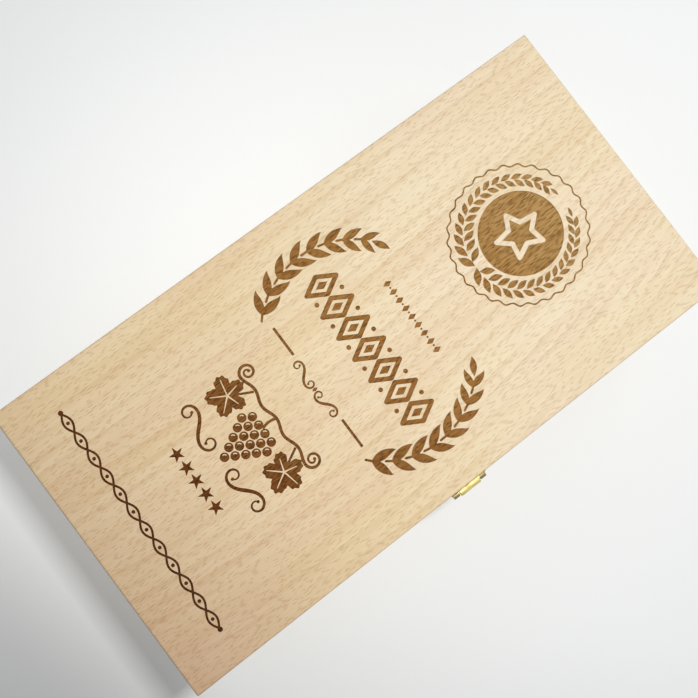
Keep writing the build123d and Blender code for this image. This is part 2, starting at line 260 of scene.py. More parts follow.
def end_grain(tree, place):
    """The darker cut ends of a board: close rings, speckled with fine pores."""
    y, z = axes(tree, place)[1:]
    across = math_node(tree, "ADD", y, heart_across)
    depth = math_node(tree, "ADD", z, heart_depth)
    reach = math_node(tree, "SQRT", squares(tree, across, depth))
    reach = math_node(tree, "MULTIPLY_ADD", noise(tree, place, 0.02, 0.012, 2.0), end_waver, reach)
    ring = math_node(tree, "FRACT", math_node(tree, "DIVIDE", reach, end_ring))
    colour = blend_colour(tree, spread(tree, ring, 0.25, 1.0), end_pale, end_deep)
    pores = noise(tree, place, pore, pore, 2.0)
    return tinted(tree, colour, spread(tree, pores, 0.45, 0.68, 0.0, 0.7), pore_tint)


def facing(tree, here, axis):
    """1 where a surface is square to an axis of the piece, and 0 elsewhere."""
    turned = math_node(tree, "ABSOLUTE", axes(tree, here.outputs["Normal"])["XYZ".index(axis)])
    return math_node(tree, "GREATER_THAN", turned, square_on)


def beech_board(name, order, offset):
    """Bare beech for one board: its faces, and its end grain where a surface cuts across the grain."""
    material, tree = new_material(name)
    here, place = grain_place(tree, order, offset)
    colour, depth, fibre = beech_colour(tree, place, board_pale, board_deep)
    colour = blend_colour(tree, facing(tree, here, order[0]), colour, end_grain(tree, place))
    wood_surface(tree, colour, depth, fibre, bare_roughness, bare_gloss)
    return material


def finish(node, material):
    """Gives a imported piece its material."""
    node.data.materials.clear()
    node.data.materials.append(material)


boards = {
    "XZY": ("front_wall", "back_wall", "lid_front_rail", "lid_back_rail"),
    "YZX": (
        "left_wall",
        "right_wall",
        "lid_left_rail",
        "lid_right_rail",
        "front_neck_rest",
        "back_neck_rest",
    ),
}
for order, names in boards.items():
    for count, name in enumerate(names):
        offset = (next_cut[0] * count, first_cut + next_cut[1] * count, next_cut[2] * count)
        finish(nodes[name], beech_board(f"beech_{name}", order, offset))


# Divider and bottom
# Beech plywood: the divider is let into the end walls, and the bottom is glued on from below. The broad
# faces are beech, and the cut edges show three plies, the middle one across the others and darker.

ply_pale, ply_deep = (0.81, 0.69, 0.485), (0.745, 0.60, 0.40)
outer_ply = (0.70, 0.55, 0.37), (0.58, 0.43, 0.28)
middle_ply = (0.60, 0.45, 0.30), (0.47, 0.32, 0.20)
glue_colour = (0.38, 0.25, 0.15)
middle_half = 0.26  # half the middle ply, as a share of the sheet's thickness
glue_half, glue_core = 0.00016, 0.00004


def ply_edge(tree, place, centre, thickness):
    """The cut edge of three-ply. centre is the middle of the sheet, in the order's third axis."""
    z = axes(tree, place)["Z"]
    off = math_node(tree, "ABSOLUTE", math_node(tree, "SUBTRACT", z, centre))
    middle = math_node(tree, "LESS_THAN", off, thickness * middle_half)
    from_glue = math_node(tree, "ABSOLUTE", math_node(tree, "SUBTRACT", off, thickness * middle_half))
    glue = spread(tree, from_glue, glue_half, glue_core)
    grit = spread(tree, noise(tree, place, 0.0011, 0.0005, 3.0), 0.35, 0.65)
    outer = blend_colour(tree, grit, *outer_ply)
    inner = blend_colour(tree, grit, *middle_ply)
    return blend_colour(tree, glue, blend_colour(tree, middle, outer, inner), glue_colour)


def slant(tree, place, lean):
    """How far along X a place is, plus a share of how far along Y."""
    x, y = axes(tree, place)[:2]
    return math_node(tree, "MULTIPLY_ADD", y, lean, x)


def beech_plywood(name, sheet, order, offset, pale, deep, painted_shade_tints=(), sway=board_sway, bow=0.0):
    """Beech plywood for a packed sheet, given by its two corners. It is thin along the order's third axis.

    Each of tints is a share of Y, a start and an end along X plus that share of Y, and the tint there.
    The lid's tints are painted shade.
    """
    material, tree = new_material(name)
    here, place = grain_place(tree, order, offset)
    colour, depth, fibre = beech_colour(tree, place, pale, deep, sway, bow)
    low, high = (corner["XYZ".index(order[2])] for corner in sheet)
    edge = ply_edge(tree, place, (low + high) / 2 + offset[2], high - low)
    colour = blend_colour(tree, facing(tree, here, order[2]), edge, colour)
    # Painted shade: each tint darkens the colour more and more along a slant of the piece.
    for lean, start, end, tint in painted_shade_tints:
        share = spread(tree, slant(tree, here.outputs["Object"], lean), start, end)
        colour = tinted(tree, colour, share, tint)
    wood_surface(tree, colour, depth, fibre, bare_roughness, bare_gloss)
    return material


divider_cut, bottom_cut = (1.9, 0.7, 0.3), (2.3, 1.1, 0.6)
divider_ply = beech_plywood("plywood_divider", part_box("divider"), "XZY", divider_cut, ply_pale, ply_deep)
bottom_ply = beech_plywood("plywood_bottom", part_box("bottom_panel"), "XYZ", bottom_cut, ply_pale, ply_deep)
finish(nodes["divider"], divider_ply)
finish(nodes["bottom_panel"], bottom_ply)


# Lid panel
# A sheet of beech-faced plywood, glued on the lid's rails. Its ornament is burnt in by a laser: shallow
# recesses with charred, sloping sides, golden brown at the head and darker towards the foot. The veneer
# is painted with shade: warmer and darker towards the foot, and greyer along the foot's edge.

lid_low, lid_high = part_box("lid_panel")
lid_length = lid_high.x - lid_low.x
lid_top = lid_high.z
lid_cut = (0.0, -edge_lean * lid_top, 0.0)
lid_pale, lid_deep = (0.776, 0.665, 0.467), (0.740, 0.604, 0.402)
lid_sway, lid_bow = 0.012, 1.2
# Each tint of the lid: a share of Y, its start and end along X plus that share, and its colour. All are
# painted shade: the first two stand in for light that falls off from the head to the foot, the last
# for the foot's rounded edge, which turns away from the light.
painted_shade_warmth = (0.0, 0.10, -0.08, (0.985, 0.925, 0.825))
# Painted shade: darker and pinker towards the foot's front corner, where the light falls off.
foot = (0.55, -0.08, -0.26, (0.75, 0.65, 0.655))
# Painted shade: a grey line along the foot's rounded edge, where it turns away from the light.
painted_shade_rim = (0.0, lid_low.x + 0.0017, lid_low.x + 0.0004, (0.80, 0.84, 0.88))
engraved_depth = 0.00035
wall_slope = 0.00010
cutter_rise = 0.0010  # how far the tools stand out of the lid
weld = 1e-6  # vertices closer than this become one
burn_lean = 0.32
burn = (
    (0.08, (0.115, 0.040, 0.011)),
    (0.18, (0.150, 0.046, 0.008)),
    (0.28, (0.235, 0.097, 0.024)),
    (0.46, (0.335, 0.160, 0.044)),
    (0.66, (0.370, 0.192, 0.054)),
    (0.80, (0.440, 0.265, 0.094)),
)
burnt_shade, charred_shade = 1.0, 0.72
soot_tint, patch_tint, burnt_fleck_tint = (0.66, 0.58, 0.50), (0.90, 0.84, 0.80), (0.05, 0.03, 0.02)
burnt_fleck_width, burnt_fleck_share = 0.00098, 1.10
burnt_roughness, burnt_gloss = 0.75, 0.06


def burnt_beech(name, shade):
    """Laser-burnt beech: brown, with its flecks burnt darker, and darkest at the lid's foot.

    Its ramp runs along the lid, from the foot at 0 to the head at 1.
    """
    material, tree = new_material(name)
    here, place = grain_place(tree, "XYZ", lid_cut)
    along = math_node(tree, "MULTIPLY_ADD", slant(tree, place, burn_lean), 1 / lid_length, 0.5)
    ramp = tree.nodes.new("ShaderNodeValToRGB")
    elements = ramp.color_ramp.elements
    while len(elements) < len(burn):
        elements.new(0.5)
    for element, (position, brown) in zip(elements, burn):
        element.position = position
        element.color = (*brown, 1)
    tree.links.new(along, ramp.inputs[0])
    soot = spread(tree, noise(tree, place, 0.010, 0.00045, 2.0), 0.62, 0.36)
    patch = spread(tree, noise(tree, place, 0.012, 0.007, 2.0), 0.35, 0.65, 0.0, 0.6)
    dashes = flecks(tree, place, fleck_length, burnt_fleck_width, burnt_fleck_share)
    colour = tinted(tree, ramp.outputs[0], 1.0, (shade, shade, shade))
    colour = tinted(tree, colour, soot, soot_tint)
    colour = tinted(tree, colour, patch, patch_tint)
    colour = tinted(tree, colour, dashes, burnt_fleck_tint)
    fibre = noise(tree, place, 0.012, 0.0004, 2.0)
    wood_surface(tree, colour, dashes, fibre, burnt_roughness, burnt_gloss)
    return material


veneer = beech_plywood(
    "plywood_lid",
    (lid_low, lid_high),
    "XYZ",
    lid_cut,
    lid_pale,
    lid_deep,
    painted_shade_tints=(painted_shade_warmth, foot, painted_shade_rim),
    sway=lid_sway,
    bow=lid_bow,
)
burnt = burnt_beech("burnt_beech", burnt_shade)
charred = burnt_beech("charred_beech", charred_shade)


def reshape(made, shape):
    """Moves each vertex of a fresh flat shape to the place that a function gives for it."""
    for vert in made["verts"]:
        vert.co = shape(vert.co.copy())


def dot(bm, centre, radius, sides=24, stretch=1.0):
    """A filled round, or a lozenge with four sides. stretch lengthens it along X."""
    made = bmesh.ops.create_circle(bm, cap_ends=True, segments=sides, radius=radius)
    reshape(made, lambda co: Vector((centre[0] + co.x * stretch, centre[1] + co.y, 0)))


def leaf(bm, base, heading, length, width, bow, fullness=1.0):
    """A pointed leaf whose middle is pushed to the left of its heading by bow.

    It is widest at its middle, or nearer its base where fullness is under 1.
    """
    made = bmesh.ops.create_circle(bm, cap_ends=True, segments=28, radius=1)
    turn = Matrix.Rotation(heading, 3, "Z")

    def shape(co):
        angle = atan2(co.y, co.x)
        along = 1 - abs(angle) / pi
        side = 1 if angle > 0 else -1
        across = side * width / 2 * sin(pi * along**fullness) + bow * along**2 * sqrt(max(0.0, 1 - along))
        return turn @ Vector((along * length, across, 0)) + Vector((base[0], base[1], 0))

    reshape(made, shape)


def stroke(bm, path, width, steps):
    """A ribbon along a path. path and width take the share of the way, from 0 to 1."""
    made = bmesh.ops.create_grid(bm, x_segments=steps, y_segments=1, size=1)
    small = 1e-4

    def shape(co):
        share = (co.x + 1) / 2
        ahead = Vector(path(share + small)) - Vector(path(share - small))
        normal = Vector((-ahead.y, ahead.x)).normalized()
        spot = Vector(path(share)) + normal * (co.y * width(share) / 2)
        return Vector((spot.x, spot.y, 0))

    reshape(made, shape)
    bmesh.ops.remove_doubles(bm, verts=made["verts"], dist=weld)


def bar(bm, start, end, width):
    """A straight stroke between two points."""
    a, b = Vector(start), Vector(end)
    stroke(bm, lambda share: a.lerp(b, share), lambda share: width, 1)


def outline(bm, corners, width):
    """A closed line with rounded corners."""
    for start, end in zip(corners, corners[1:] + corners[:1]):
        bar(bm, start, end, width)
        dot(bm, start, width / 2)


def star_corners(tip, valley, centre, turn=0.0, stretch=(1.0, 1.0)):
    """The ten corners of a five-pointed star with one tip towards +Y, turned by some degrees."""
    corners = []
    for count in range(10):
        radius = valley if count % 2 else tip
        angle = radians(90 + turn + 36 * count)
        x = centre[0] + stretch[0] * radius * cos(angle)
        y = centre[1] + stretch[1] * radius * sin(angle)
        corners.append((x, y))
    return corners


def new_piece(name, mesh, materials):
    """A mesh with its materials, put in the scene."""
    for material in materials:
        mesh.materials.append(material)
    piece = bpy.data.objects.new(name, mesh)
    bpy.context.scene.collection.objects.link(piece)
    return piece


def tool(name, draw, floor=engraved_depth, slope=wall_slope):
    """A drawing made solid, from above the lid down to its floor. Its charred walls lean in by slope."""
    bm = bmesh.new()
    draw(bm)
    for face in bm.faces:
        if face.normal.z > 0:
            face.normal_flip()
    grown = bmesh.ops.extrude_face_region(bm, geom=bm.faces[:], use_keep_orig=True)
    raised = [part for part in grown["geom"] if isinstance(part, bmesh.types.BMVert)]
    bmesh.ops.translate(bm, verts=raised, vec=(0, 0, cutter_rise))
    bmesh.ops.recalc_face_normals(bm, faces=bm.faces)
    for face in bm.faces:
        face.material_index = 1
    bottoms = [face for face in bm.faces if face.normal.z < -0.9]
    if slope:
        bmesh.ops.inset_region(bm, faces=bottoms, thickness=slope, depth=0, use_even_offset=True)
    for face in bottoms:
        face.material_index = 0
    bmesh.ops.translate(bm, verts=list({vert for face in bottoms for vert in face.verts}), vec=(0, 0, -floor))
    bmesh.ops.translate(bm, verts=bm.verts, vec=(0, 0, lid_top))
    mesh = bpy.data.meshes.new(name)
    bm.to_mesh(mesh)
    bm.free()
    return new_piece(name, mesh, (burnt, charred))


def island_tool(name, draw):
    """A tool with upright walls for what stands bare inside a burnt figure. It reaches through that tool."""
    return tool(name, draw, floor=2 * engraved_depth, slope=0.0)


def carve(piece, cutter):
    """Cuts a tool out of a piece, and throws the tool away."""
    cut = piece.modifiers.new("cut", "BOOLEAN")
    cut.operation = "DIFFERENCE"
    cut.solver = "EXACT"
    cut.use_self = True
    cut.material_mode = "TRANSFER"
    cut.object = cutter
    bpy.context.view_layer.update()
    carved = bpy.data.meshes.new_from_object(piece.evaluated_get(bpy.context.evaluated_depsgraph_get()))
    piece.modifiers.clear()
    piece.data = carved
    bpy.data.objects.remove(cutter)


def keep(cutter):
    """Adds a tool to the one that cuts the whole ornament."""
    ornament.from_mesh(cutter.data)
    bpy.data.objects.remove(cutter)


ornament = bmesh.new()
panel_mesh = nodes["lid_panel"].data.copy()
bm = bmesh.new()
bm.from_mesh(panel_mesh)
bmesh.ops.remove_doubles(bm, verts=bm.verts, dist=weld)
bm.to_mesh(panel_mesh)
bm.free()
panel_mesh.materials.clear()
lid_panel = new_piece("lid_panel_engraved", panel_mesh, (veneer,))


# Medallion
# At the lid's head: a burnt disc round a bare star, a wreath of two branches open at the top, and a
# fine scalloped line round them.

disc_centre, disc_radius = (0.10657, 0.00067), 0.02434
drawn_up, drawn_in = 1.019, 0.981
star_centre, star_stretch, star_turn = (0.10588, 0.00064), (1.03, 0.924), 0.3
star_tip, star_valley, star_band = 0.01395, 0.00694, 0.0028
wreath_centre = (0.10525, 0.0008)
wreath_pairs, wreath_start, wreath_step = 15, 174.9, 10.33
wreath_opening, opening_fade = 3.9, 1.1  # degrees added between the first pairs, and how soon that fades
wreath_bow, wreath_leaf_reach, wreath_leaf_width = 0.0004, 1.05, 0.44
row_widening = 0.0006  # how much further out both rows of leaves stand at the tips
outer_radius, outer_tuck, tuck_fade = 0.0317, 0.0014, 0.9
outer_size, outer_extra, outer_fade = 0.0065, 0.0034, 3.0
outer_turn, outer_closing = 31, 18
inner_radius, inner_tuck = 0.0310, 0.0005
inner_size, inner_extra, inner_fade = 0.0063, 0.0023, 5.0
inner_turn, inner_closing = 52, 22
inner_lead, lead_loss = 5.2, 2.0  # how far an inner leaf's foot is ahead of its outer one's, in degrees
wreath_tip, wreath_tip_radius, wreath_tip_turn = 18.8, 0.0320, -76
wreath_tip_length, wreath_tip_width = 0.0058, 0.0019
ring_radius, ring_swing, ring_waves, ring_line, ring_turn = 0.03974, 0.00075, 30, 0.00088, 6


def round_place(centre, radius, angle):
    """A place round the medallion's middle. Its rounds are drawn up a little towards the lid's head."""
    return centre[0] + drawn_up * radius * cos(angle), centre[1] + drawn_in * radius * sin(angle)


def draw_disc(bm):
    """The filled round in the middle."""
    made = bmesh.ops.create_circle(bm, cap_ends=True, segments=96, radius=1)
    reshape(made, lambda co: Vector((*round_place(disc_centre, disc_radius, atan2(co.y, co.x)), 0)))


def draw_star_band(bm):
    """The bare band that makes the star's outline."""
    outline(bm, star_corners(star_tip, star_valley, star_centre, star_turn, star_stretch), star_band)


def draw_ring(bm):
    """The scalloped line."""

    def path(share):
        angle = 2 * pi * share
        swing = ring_swing * cos(ring_waves * (angle - radians(ring_turn)))
        return round_place(wreath_centre, ring_radius + swing, angle)

    stroke(bm, path, lambda share: ring_line, ring_waves * 12)


def draw_wreath(bm):
    """Pairs of leaves up each side of the disc and a leaf at each tip.

    The leaves at the foot are the longest, stand a little further in and open the widest.
    """
    for side in (1, -1):
        for count in range(wreath_pairs):
            share = count / (wreath_pairs - 1)
            outer_at = wreath_start - wreath_step * count + wreath_opening * exp(-count / opening_fade)
            outer_foot = outer_radius + row_widening * share**2 - outer_tuck * exp(-tuck_fade * count)
            outer_length = outer_size + outer_extra * exp(-count / outer_fade)
            inner_at = outer_at - inner_lead + lead_loss * share
            inner_foot = inner_radius + row_widening * share - inner_tuck * exp(-count)
            inner_length = inner_size + inner_extra * exp(-count / inner_fade)
            outer = (outer_at, outer_foot, outer_turn - outer_closing * share, outer_length, wreath_bow)
            inner = (inner_at, inner_foot, inner_closing * share - inner_turn, inner_length, -wreath_bow)
            for at, radius, turn, length, bow in (outer, inner):
                base = round_place(wreath_centre, radius, side * radians(at))
                heading = side * radians(at - 90 + turn)
                leaf(bm, base, heading, wreath_leaf_reach * length, wreath_leaf_width * length, side * bow)
        base = round_place(wreath_centre, wreath_tip_radius, side * radians(wreath_tip))
        leaf(bm, base, side * radians(wreath_tip_turn), wreath_tip_length, wreath_tip_width, 0.0)


disc_tool = tool("disc_tool", draw_disc)
carve(disc_tool, island_tool("star_band_tool", draw_star_band))
keep(disc_tool)
keep(tool("ring_tool", draw_ring))
keep(tool("wreath_tool", draw_wreath))


# Sprays
# Two laurel sprays face each other across the middle of the lid. Each has eight pairs of curved leaves
# on short stems, and one leaf at its tip.

spray_x, spray_y, spray_radius = -0.0008, 0.0117, 0.0511
spray_pairs, spray_start, spray_step, spray_slowing = 8, 133.4, 12.3, 0.007
spray_outer_turn, spray_outer_closing = 24.5, 0.5
spray_outer_length, spray_outer_shrinking = 0.01395, 1.6e-7
spray_inner_turn, spray_inner_opening = 31.5, 0.9
spray_inner_length, spray_inner_shrinking = 0.0146, 1.05e-5
spray_leaf_width, spray_bow, spray_fullness = 0.345, 0.15, 0.82
fork_share, fork_turn, fork_width = 0.33, -3.5, 0.0008  # the wedge between the two leaves of a pair
stem_length, stem_width, stem_turn, stem_overlap = 0.0033, 0.0013, 4, 0.0008
spray_tip, spray_tip_turn = (0.0366, 0.0465), -61
spray_tip_length, spray_tip_width, spray_tip_bow = 0.0110, 0.0039, 0.0010


def towards(side, angle):
    """A step of length 1 at some degrees from +X, on one side of the lid's middle line or mirrored."""
    turn = side * radians(angle)
    return Vector((cos(turn), sin(turn)))


def draw_sprays(bm):
    """Each pair of leaves grows from a joint on the spray's curve, with a stem below the joint.

    Towards the tip the pairs close up, and their leaves are shorter.
    """
    for side in (1, -1):
        for count in range(spray_pairs):
            angle = spray_start - spray_step * count + spray_slowing * count**3
            tangent = angle - 90
            joint = Vector((spray_x, side * spray_y)) + spray_radius * towards(side, angle)
            outer_length = spray_outer_length - spray_outer_shrinking * count**5
            inner_length = spray_inner_length - spray_inner_shrinking * count**3
            outer = (spray_outer_turn - spray_outer_closing * count, outer_length, spray_bow)
            inner = (-spray_inner_turn - spray_inner_opening * count, inner_length, -spray_bow)
            for turn, length, bow in (outer, inner):
                heading = side * radians(tangent + turn)
                width = spray_leaf_width * length
                leaf(bm, joint, heading, length, width, side * bow * length, spray_fullness)
            fork = joint + fork_share * inner_length * towards(side, tangent + fork_turn)
            bar(bm, joint, fork, fork_width)
            ahead = towards(side, tangent + stem_turn)
            foot_end = joint - stem_length * ahead
            bar(bm, foot_end, joint + stem_overlap * ahead, stem_width)
            dot(bm, foot_end, stem_width / 2, 12)
        base = (spray_tip[0], side * spray_tip[1])
        heading = side * radians(spray_tip_turn)
        leaf(bm, base, heading, spray_tip_length, spray_tip_width, side * spray_tip_bow)


keep(tool("spray_tool", draw_sprays))


# Rows of small figures
# Between and below the sprays: a row of nested lozenges, a line of small diamonds, two dashes beside a
# flourish, a row of five small stars, and near the foot a chain of two crossing waves with beads.

lozenge_x, lozenge_up, lozenge_out, lozenge_line = -0.0005, 0.0100, 0.0057, 0.0026
lozenge_step, lozenge_each_side = 0.0143, 3
core_radius, core_stretch = 0.0022, 1.8
bead_up, bead_radius = 0.0085, 0.0013
diamond_x, diamond_step, diamond_radius, diamond_stretch = 0.0290, 0.0056, 0.0016, 1.7
diamonds_each_side, speck_radius = 4, 0.0006
dash_x, dash_near, dash_far, dash_width = -0.0353, 0.0216, 0.0398, 0.0015
flourish_x, flourish_y, flourish_size, flourish_width = -0.0372, 0.0098, 0.0085, 0.0016
flourish_core, flourish_core_stretch = 0.0011, 1.6
small_star_x, small_star_y, small_star_step = -0.1158, -0.0010, 0.0086
small_star_tip, small_star_valley, small_stars_each_side = 0.0045, 0.0017, 2
chain_x, chain_eyes, chain_eye, chain_swing, chain_line = -0.1510, 12, 0.0115, 0.0023, 0.0012
chain_half = chain_eyes * chain_eye / 2
chain_bead, chain_knob, chain_knob_out = 0.0010, 0.0014, 0.0008


def scroll(bm, centre, size, turn, side, width):
    """An S-shaped scroll that winds up at both ends, thick in its middle."""
    steps = 120
    reach = 2.05  # how far both ends wind up
    thinning = 0.62
    knob = 0.42  # radius of both ends, as a share of the width
    turned = Matrix.Rotation(turn, 2)
    half = [Vector((0, 0))]
    for count in range(steps):
        t = reach * (count + 0.5) / steps
        half.append(half[-1] + Vector((cos(pi * t * t / 2), sin(pi * t * t / 2))) * reach / steps)

    def path(share):
        t = (share * 2 - 1) * steps
        whole = min(steps - 1, int(abs(t)))
        spot = half[whole].lerp(half[whole + 1], abs(t) - whole)
        spot = turned @ (spot if t > 0 else -spot) * size
        return centre[0] + spot.x, centre[1] + side * spot.y

    stroke(bm, path, lambda share: width * (1 - thinning * abs(share * 2 - 1)), 96)
    for end in (0, 1):
        dot(bm, path(end), width * knob, 16)


def draw_lozenges(bm):
    """A row of lozenges, each round a filled core, with beads between them."""
    for count in range(-lozenge_each_side, lozenge_each_side + 1):
        y = count * lozenge_step
        head, tail = (lozenge_x + lozenge_up, y), (lozenge_x - lozenge_up, y)
        outline(bm, [head, (lozenge_x, y + lozenge_out), tail, (lozenge_x, y - lozenge_out)], lozenge_line)
        dot(bm, (lozenge_x, y), core_radius, 4, core_stretch)
    for count in range(-lozenge_each_side, lozenge_each_side):
        for end in (1, -1):
            dot(bm, (lozenge_x + end * bead_up, (count + 0.5) * lozenge_step), bead_radius)


def draw_small_rows(bm):
    """The diamonds with specks between them, the dashes with the flourish, and the five stars."""
    for count in range(-diamonds_each_side, diamonds_each_side + 1):
        dot(bm, (diamond_x, count * diamond_step), diamond_radius, 4, diamond_stretch)
    for count in range(-diamonds_each_side, diamonds_each_side):
        dot(bm, (diamond_x, (count + 0.5) * diamond_step), speck_radius, 16)
    for side in (1, -1):
        bar(bm, (dash_x, side * dash_near), (dash_x, side * dash_far), dash_width)
        scroll(bm, (flourish_x, side * flourish_y), flourish_size, radians(45), side, flourish_width)
    dot(bm, (flourish_x, 0), flourish_core, 4, flourish_core_stretch)
    for count in range(-small_stars_each_side, small_stars_each_side + 1):
        centre = (small_star_x, small_star_y + count * small_star_step)
        made = bmesh.ops.create_circle(bm, cap_ends=True, segments=10, radius=1)
        for vert, corner in zip(made["verts"], star_corners(small_star_tip, small_star_valley, centre)):
            vert.co = Vector((*corner, 0))


def wave(bm, side):
    """One of the chain's two waves, which swing to opposite sides."""

    def path(share):
        swing = side * chain_swing * sin(pi * chain_eyes * share)
        return chain_x + swing, -chain_half + 2 * chain_half * share

    stroke(bm, path, lambda share: chain_line, chain_eyes * 14)


def draw_chain(bm):
    """Two crossing waves, a bead in each eye between them, and a knob at each end."""
    for side in (1, -1):
        wave(bm, side)
    for count in range(chain_eyes):
        dot(bm, (chain_x, -chain_half + (count + 0.5) * chain_eye), chain_bead, 16)
    for end in (1, -1):
        dot(bm, (chain_x, end * (chain_half + chain_knob_out)), chain_knob, 16)


keep(tool("lozenge_tool", draw_lozenges))
keep(tool("small_row_tool", draw_small_rows))
keep(tool("chain_tool", draw_chain))


# Vine
# Below the flourish a bunch of grapes hangs from a branch whose ends curl, between two lobed leaves
# with bare veins and two scrolls.

vine_x = -0.0640
grape_rows, grape_radius, grape_step, grape_drop = (4, 5, 4, 3, 2, 1), 0.00255, 0.0056, 0.87
bunch_below, glint_radius, glint_line, glint_start, glint_sweep = 0.0085, 0.0014, 0.0006, 100, 90
leaf_size, leaf_below, leaf_out, leaf_turn = 0.0118, 0.0125, 0.0252, 150
leaf_lobes, lobe_least, lobe_more, lobe_fullness = 5, 0.60, 0.40, 0.8
notch_depth, notch_half, leaf_narrowing = 0.25, 22, 0.12
tooth_depth, teeth_round = 0.045, 22
vein_foot, vein_taper = 0.0009, 0.0005
veins = ((0, 0.80), (72, 0.80), (-72, 0.80), (138, 0.62), (-138, 0.62))  # angles and shares of the leaf
branch_half, branch_swing, branch_line = 0.0290, 0.0012, 0.0017
stalk_drop, stalk_bow, stalk_line = 0.0090, 0.0009, 0.0015
leaf_stalk_drop, leaf_stalk_near, leaf_stalk_out, leaf_stalk_line = 0.0110, 0.0185, 0.0058, 0.0013
curl_radius, curl_turn, curl_closing, curl_thinning, curl_end = 0.0047, 520, 0.78, 0.45, 0.0009
vine_scroll_below, vine_scroll_out, vine_scroll_size, vine_scroll_width = 0.0345, 0.0205, 0.0140, 0.0021


def grape_places():
    """The middles of the grapes, row by row."""
    for row, grapes in enumerate(grape_rows):
        for count in range(grapes):
            x = vine_x - bunch_below - row * grape_step * grape_drop
            yield x, (count - (grapes - 1) / 2) * grape_step


def draw_bunch(bm):
    """The grapes."""
    for place in grape_places():
        dot(bm, place, grape_radius)


def glint(bm, centre):
    """A bare arc on the upper side of a grape."""

    def path(share):
        angle = radians(glint_start - glint_sweep * share)
        return centre[0] + glint_radius * cos(angle), centre[1] + glint_radius * sin(angle)

    stroke(bm, path, lambda share: glint_line, 8)


def draw_glints(bm):
    """A glint for each grape."""
    for place in grape_places():
        glint(bm, place)


def leaf_point(side, reach, angle):
    """A place on a vine leaf, by its distance and angle from the foot of its veins."""
    turn = radians(angle - leaf_turn)
    return vine_x - leaf_below + reach * cos(turn), side * (leaf_out - reach * sin(turn))


def vine_leaf(bm, side):
    """A leaf of five toothed lobes, with a notch at its stalk."""
    made = bmesh.ops.create_circle(bm, cap_ends=True, segments=110, radius=1)

    def shape(co):
        angle = degrees(atan2(co.y, co.x))
        lobe = lobe_least + lobe_more * abs(cos(radians(angle * (leaf_lobes / 2)))) ** lobe_fullness
        notch = notch_depth * max(0.0, 1 - abs(abs(angle) - 180) / notch_half)
        teeth = 1 + tooth_depth * cos(radians(angle * teeth_round))
        size = leaf_size * (lobe - notch) * teeth * (1.0 - leaf_narrowing * abs(angle) / 180)
        x, y = leaf_point(side, size, angle)
        return Vector((x, y, 0))

    reshape(made, shape)


def draw_vine_leaves(bm):
    """The two leaves, without their veins."""
    for side in (1, -1):
        vine_leaf(bm, side)


def vein(bm, start, end):
    """A straight vein that tapers towards its end."""
    a, b = Vector(start), Vector(end)
    stroke(bm, lambda share: a.lerp(b, share), lambda share: vein_foot - vein_taper * share, 4)


def draw_veins(bm):
    """A vein for each lobe. Those of the two lobes by the stalk are shorter."""
    for side in (1, -1):
        for angle, share in veins:
            vein(bm, leaf_point(side, 0.0, 0), leaf_point(side, leaf_size * share, angle))


def leaf_stalk(bm, side):
    """The slanting stalk from the branch down to a leaf."""

    def path(share):
        return vine_x - leaf_stalk_drop * share, side * (leaf_stalk_near + leaf_stalk_out * share)

    stroke(bm, path, lambda share: leaf_stalk_line, 8)


def curl(bm, side):
    """The curled end of the branch, which winds inwards and thins."""

    def path(share):
        radius = curl_radius * (1 - curl_closing * share)
        angle = radians(curl_turn * share)
        x = vine_x - branch_swing + curl_radius - radius * cos(angle)
        return x, side * (branch_half + radius * sin(angle))

    stroke(bm, path, lambda share: branch_line * (1 - curl_thinning * share), 64)
    dot(bm, path(1.0), curl_end, 16)


def draw_branch(bm):
    """The winding branch, the bunch's stalk, and on each side a leaf's stalk, a curl and a scroll."""

    def branch(share):
        reach = share * 2 - 1
        return vine_x + branch_swing * cos(3 * pi * reach), branch_half * reach

    def stalk(share):
        return vine_x + branch_swing - stalk_drop * share, stalk_bow * sin(pi * share)

    stroke(bm, branch, lambda share: branch_line, 60)
    stroke(bm, stalk, lambda share: stalk_line, 12)
    for side in (1, -1):
        leaf_stalk(bm, side)
        curl(bm, side)
        centre = (vine_x - vine_scroll_below, side * vine_scroll_out)
        scroll(bm, centre, vine_scroll_size, radians(45), side, vine_scroll_width)


bunch_tool = tool("bunch_tool", draw_bunch)
carve(bunch_tool, island_tool("glint_tool", draw_glints))
keep(bunch_tool)
leaf_tool = tool("vine_leaf_tool", draw_vine_leaves)
carve(leaf_tool, island_tool("vein_tool", draw_veins))
keep(leaf_tool)
keep(tool("branch_tool", draw_branch))

ornament_mesh = bpy.data.meshes.new("ornament_tool")
ornament.to_mesh(ornament_mesh)
ornament.free()
carve(lid_panel, new_piece("ornament_tool", ornament_mesh, (burnt, charred)))
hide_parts("lid_panel")
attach(lid_panel, "lid")


# Brass fittings
# The latch, the hinges and their pins, screws and nails are thin pressed brass. The leaves are brushed
# and a little smeared by handling, and the latch's pin is polished. The latch's plate is duller, and its
# brass is painted darker as shade on its knuckles, which look dark beside the pale, shining tongue.

brushed_tint = (0.93, 0.92, 0.90)
scratch_strength, scratch_depth = 0.15, 0.00003


